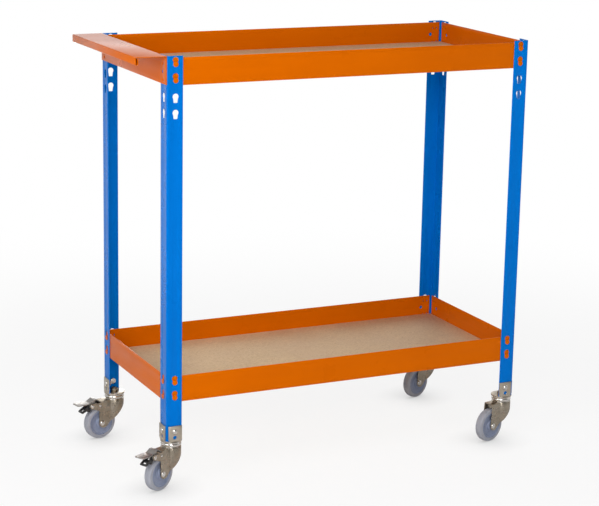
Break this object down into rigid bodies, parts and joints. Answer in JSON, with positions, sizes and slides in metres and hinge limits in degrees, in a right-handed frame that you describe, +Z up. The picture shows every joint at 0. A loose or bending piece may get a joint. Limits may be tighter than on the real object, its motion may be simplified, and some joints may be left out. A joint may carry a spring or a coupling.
{
  "type": "mobile work table",
  "caption": "Mobile work table with an upper and a lower tray on angle posts, a folded push handle at one end and swivel casters, those at the handle end with pedal brakes.",
  "frame": {"origin": "on the floor, under the middle of the rectangle that the posts stand on", "axes": "+X along the length, away from the push handle; +Y from front to back; +Z up"},
  "size_m": [0.9957, 0.4589, 0.974],
  "materials": {
    "blue_paint": "smooth powder coat",
    "orange_paint": "smooth powder coat",
    "board": "bare chipboard",
    "zinc": "bright zinc plate",
    "tread_rubber": "matt",
    "hub_plastic": "satin",
    "black_steel": "black oxide"
  },
  "bodies": {
    "frame": {"back_left_bracket": "zinc", "back_left_post": "blue_paint", "back_right_bracket": "zinc", "back_right_post": "blue_paint", "bracket_bolts": "zinc", "bracket_nuts": "zinc", "front_left_bracket": "zinc", "front_left_post": "blue_paint", "front_right_bracket": "zinc", "front_right_post": "blue_paint", "kingpin_nuts": "zinc", "lower_back_beam": "orange_paint", "lower_front_beam": "orange_paint", "lower_left_beam": "orange_paint", "lower_panel": "board", "lower_right_beam": "orange_paint", "push_handle": "orange_paint", "swivel_heads": "zinc", "upper_back_beam": "orange_paint", "upper_front_beam": "orange_paint", "upper_panel": "board", "upper_right_beam": "orange_paint"},
    "front_left_swivel": {"front_left_fork": "zinc", "front_left_axle": "zinc", "front_left_axle_nut": "zinc", "front_left_brake_rivets": "zinc"},
    "front_left_wheel": {"front_left_tyre": "tread_rubber", "front_left_hub": "hub_plastic"},
    "front_left_brake": {"front_left_pedal": "zinc", "front_left_yoke": "black_steel"},
    "front_right_swivel": {"front_right_fork": "zinc", "front_right_axle": "zinc", "front_right_axle_nut": "zinc"},
    "front_right_wheel": {"front_right_tyre": "tread_rubber", "front_right_hub": "hub_plastic"},
    "back_right_swivel": {"back_right_fork": "zinc", "back_right_axle": "zinc", "back_right_axle_nut": "zinc"},
    "back_right_wheel": {"back_right_tyre": "tread_rubber", "back_right_hub": "hub_plastic"},
    "back_left_swivel": {"back_left_fork": "zinc", "back_left_axle": "zinc", "back_left_axle_nut": "zinc", "back_left_brake_rivets": "zinc"},
    "back_left_wheel": {"back_left_tyre": "tread_rubber", "back_left_hub": "hub_plastic"},
    "back_left_brake": {"back_left_pedal": "zinc", "back_left_yoke": "black_steel"}
  },
  "joints": [
    {"name": "front_left_swivel_turn", "type": "hinge", "parent": "frame", "child": "front_left_swivel", "pos_m": [-0.4315, -0.1865, 0.1], "axis": [0, 0, 1], "continuous": true},
    {"name": "front_left_wheel_roll", "type": "hinge", "parent": "front_left_swivel", "child": "front_left_wheel", "pos_m": [-0.46858, -0.20622, 0.04], "axis": [-0.4695, 0.8829, 0], "continuous": true},
    {"name": "front_left_brake_press", "type": "hinge", "parent": "front_left_swivel", "child": "front_left_brake", "pos_m": [-0.49201, -0.21867, 0.08577], "axis": [0.4695, -0.8829, 0], "range_deg": [0, 20]},
    {"name": "front_right_swivel_turn", "type": "hinge", "parent": "frame", "child": "front_right_swivel", "pos_m": [0.4315, -0.1865, 0.1], "axis": [0, 0, 1], "continuous": true},
    {"name": "front_right_wheel_roll", "type": "hinge", "parent": "front_right_swivel", "child": "front_right_wheel", "pos_m": [0.39156, -0.19948, 0.04], "axis": [-0.309, 0.9511, 0], "continuous": true},
    {"name": "back_right_swivel_turn", "type": "hinge", "parent": "frame", "child": "back_right_swivel", "pos_m": [0.4315, 0.1865, 0.1], "axis": [0, 0, 1], "continuous": true},
    {"name": "back_right_wheel_roll", "type": "hinge", "parent": "back_right_swivel", "child": "back_right_wheel", "pos_m": [0.39229, 0.17145, 0.04], "axis": [-0.3584, 0.9336, 0], "continuous": true},
    {"name": "back_left_swivel_turn", "type": "hinge", "parent": "frame", "child": "back_left_swivel", "pos_m": [-0.4315, 0.1865, 0.1], "axis": [0, 0, 1], "continuous": true},
    {"name": "back_left_wheel_roll", "type": "hinge", "parent": "back_left_swivel", "child": "back_left_wheel", "pos_m": [-0.47258, 0.17777, 0.04], "axis": [-0.2079, 0.9781, 0], "continuous": true},
    {"name": "back_left_brake_press", "type": "hinge", "parent": "back_left_swivel", "child": "back_left_brake", "pos_m": [-0.49853, 0.17225, 0.08577], "axis": [0.2079, -0.9781, 0], "range_deg": [0, 20]}
  ]
}
